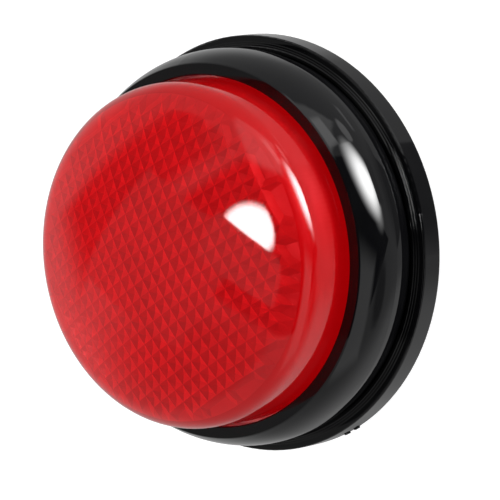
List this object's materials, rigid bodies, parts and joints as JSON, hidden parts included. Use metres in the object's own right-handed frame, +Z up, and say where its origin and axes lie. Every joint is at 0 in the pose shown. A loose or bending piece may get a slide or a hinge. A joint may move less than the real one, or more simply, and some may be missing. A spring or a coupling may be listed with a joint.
{
  "type": "quiz buzzer",
  "caption": "Round tabletop game buzzer: a large clear red push dome in a black barrel-shaped bezel on a stepped round base, with a screwed battery door underneath.",
  "frame": {"origin": "centre of the round base, on the surface that the feet stand on", "axes": "+Z up out of the dome; the cells lie along X and the battery door's screw is on the +X side; the speaker is on the +Y side"},
  "size_m": [0.0952, 0.0952, 0.0467],
  "materials": {
    "black_plastic": "moulded black ABS, fine satin grain",
    "black_gloss": "polished black ABS",
    "red_lens": "polished clear red acrylic with a prism pattern inside",
    "white_plastic": "white ABS",
    "screw_steel": "zinc plated",
    "board_green": "green solder mask over glass laminate",
    "switch_black": "black nylon",
    "resin_black": "black potting resin",
    "capacitor_sleeve": "dark sleeve",
    "resistor_black": "ceramic chips",
    "speaker_steel": "stamped steel",
    "speaker_film": "polyester film",
    "wire_red": "insulated leads",
    "wire_black": "insulated leads",
    "contact_plate": "nickel plated spring steel",
    "cell_sleeve": "plain dark sleeve",
    "spring_steel": "spring wire",
    "foot_rubber": "soft black foam rubber",
    "led_clear": "clear epoxy"
  },
  "bodies": {
    "housing": {"base_shell": "black_plastic", "battery_1": "cell_sleeve", "battery_2": "cell_sleeve", "battery_wires": "wire_black", "bezel_ring": "black_gloss", "board_screws": "screw_steel", "capacitor": "capacitor_sleeve", "circuit_board": "board_green", "foot_pad_1": "foot_rubber", "foot_pad_2": "foot_rubber", "foot_pad_3": "foot_rubber", "foot_pad_4": "foot_rubber", "housing_screws": "screw_steel", "led_1": "led_clear", "led_2": "led_clear", "led_3": "led_clear", "led_4": "led_clear", "link_contact": "contact_plate", "negative_contact": "contact_plate", "positive_contact": "contact_plate", "resistors": "resistor_black", "return_spring_1": "spring_steel", "return_spring_2": "spring_steel", "return_spring_3": "spring_steel", "sound_chip": "resin_black", "speaker_cone": "speaker_film", "speaker_frame": "speaker_steel", "speaker_magnet": "speaker_steel", "speaker_wires": "wire_red", "switch_body": "switch_black"},
    "dome": {"dome_lens": "red_lens", "reflector_carrier": "white_plastic"},
    "plunger": {"switch_plunger": "switch_black"},
    "door": {"battery_door": "black_plastic", "door_screw": "screw_steel"}
  },
  "joints": [
    {"name": "dome_press", "type": "slide", "parent": "housing", "child": "dome", "axis": [0, 0, -1], "range_m": [0, 0.0025], "stiffness_N_per_m": 900, "springref_m": -0.003, "deforming": ["return_spring_1", "return_spring_2", "return_spring_3"]},
    {"name": "plunger_press", "type": "slide", "parent": "housing", "child": "plunger", "axis": [0, 0, -1], "range_m": [0, 0.0003]},
    {"name": "door_release", "type": "slide", "parent": "housing", "child": "door", "axis": [0, 0, -1], "range_m": [0, 0.012]}
  ],
  "couplings": [
    {"joint": "plunger_press", "follows": "dome_press", "ratio": 0.1}
  ]
}
